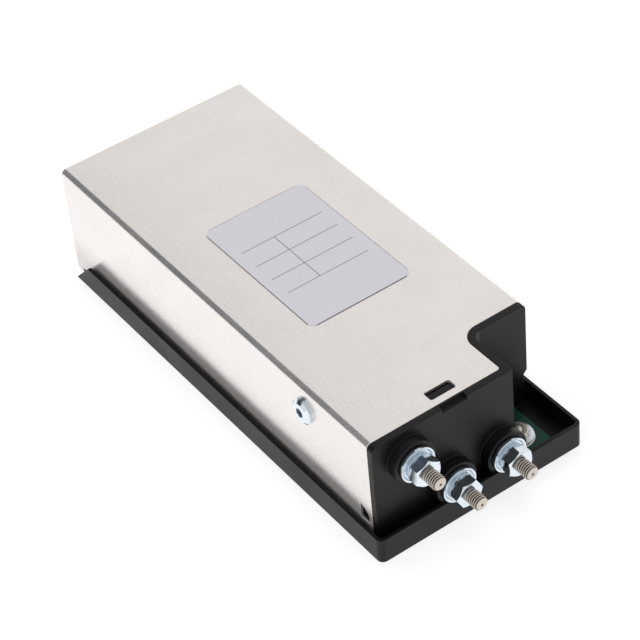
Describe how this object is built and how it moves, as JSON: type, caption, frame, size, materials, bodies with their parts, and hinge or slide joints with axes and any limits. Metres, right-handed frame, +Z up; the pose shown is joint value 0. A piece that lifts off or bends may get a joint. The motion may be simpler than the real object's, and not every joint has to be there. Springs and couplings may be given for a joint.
{
  "type": "mains line filter",
  "caption": "Enclosed mains line filter: sheet cover over a moulded tray base with a cut-away corner, screw-stud terminals at both ends, and a choke, capacitors and board inside.",
  "frame": {"origin": "centre of the overall box at the mounting face (underside of the base)", "axes": "+Z up from the mounting face, -Y towards the load terminals and the cut-away corner, +X towards the cut-away corner's side"},
  "size_m": [0.0636, 0.1676, 0.0347],
  "materials": {
    "black_moulding": "satin moulded, black",
    "cover_sheet": "satin rolled sheet",
    "plate_film": "matt silver-grey film, bare",
    "zinc_steel": "bright zinc, bluish",
    "nickel_stud": "nickel-plated, warm",
    "tinned_copper": "tinned",
    "green_laminate": "solder-masked laminate",
    "core_coating": "coated ferrite",
    "enamelled_wire": "enamelled copper",
    "film_capacitor": "moulded box",
    "disc_capacitor": "dipped coating",
    "resistor_body": "coated, matt"
  },
  "bodies": {
    "root": {"base_moulding": "black_moulding", "sheet_cover": "cover_sheet", "rating_plate": "plate_film", "cover_screw": "zinc_steel", "earth_bracket": "tinned_copper", "bracket_nut": "zinc_steel", "load_stud_earth": "nickel_stud", "load_stud_neutral": "nickel_stud", "load_stud_phase": "nickel_stud", "load_cup_washers": "zinc_steel", "load_spring_washers": "zinc_steel", "load_nuts": "zinc_steel", "line_stud_earth": "nickel_stud", "line_stud_neutral": "nickel_stud", "line_stud_phase": "nickel_stud", "line_cup_washers": "zinc_steel", "line_spring_washers": "zinc_steel", "line_nuts": "zinc_steel", "load_busbars": "tinned_copper", "line_busbars": "tinned_copper", "circuit_board": "green_laminate", "board_screws": "zinc_steel", "tongue_stud": "nickel_stud", "tongue_washer": "zinc_steel", "tongue_nut": "nickel_stud", "choke_core": "core_coating", "choke_winding_phase": "enamelled_wire", "choke_winding_neutral": "enamelled_wire", "choke_carrier": "black_moulding", "x_capacitor_line": "film_capacitor", "x_capacitor_load": "film_capacitor", "y_capacitors": "disc_capacitor", "discharge_resistor": "resistor_body", "surge_disc": "disc_capacitor"}
  },
  "joints": []
}
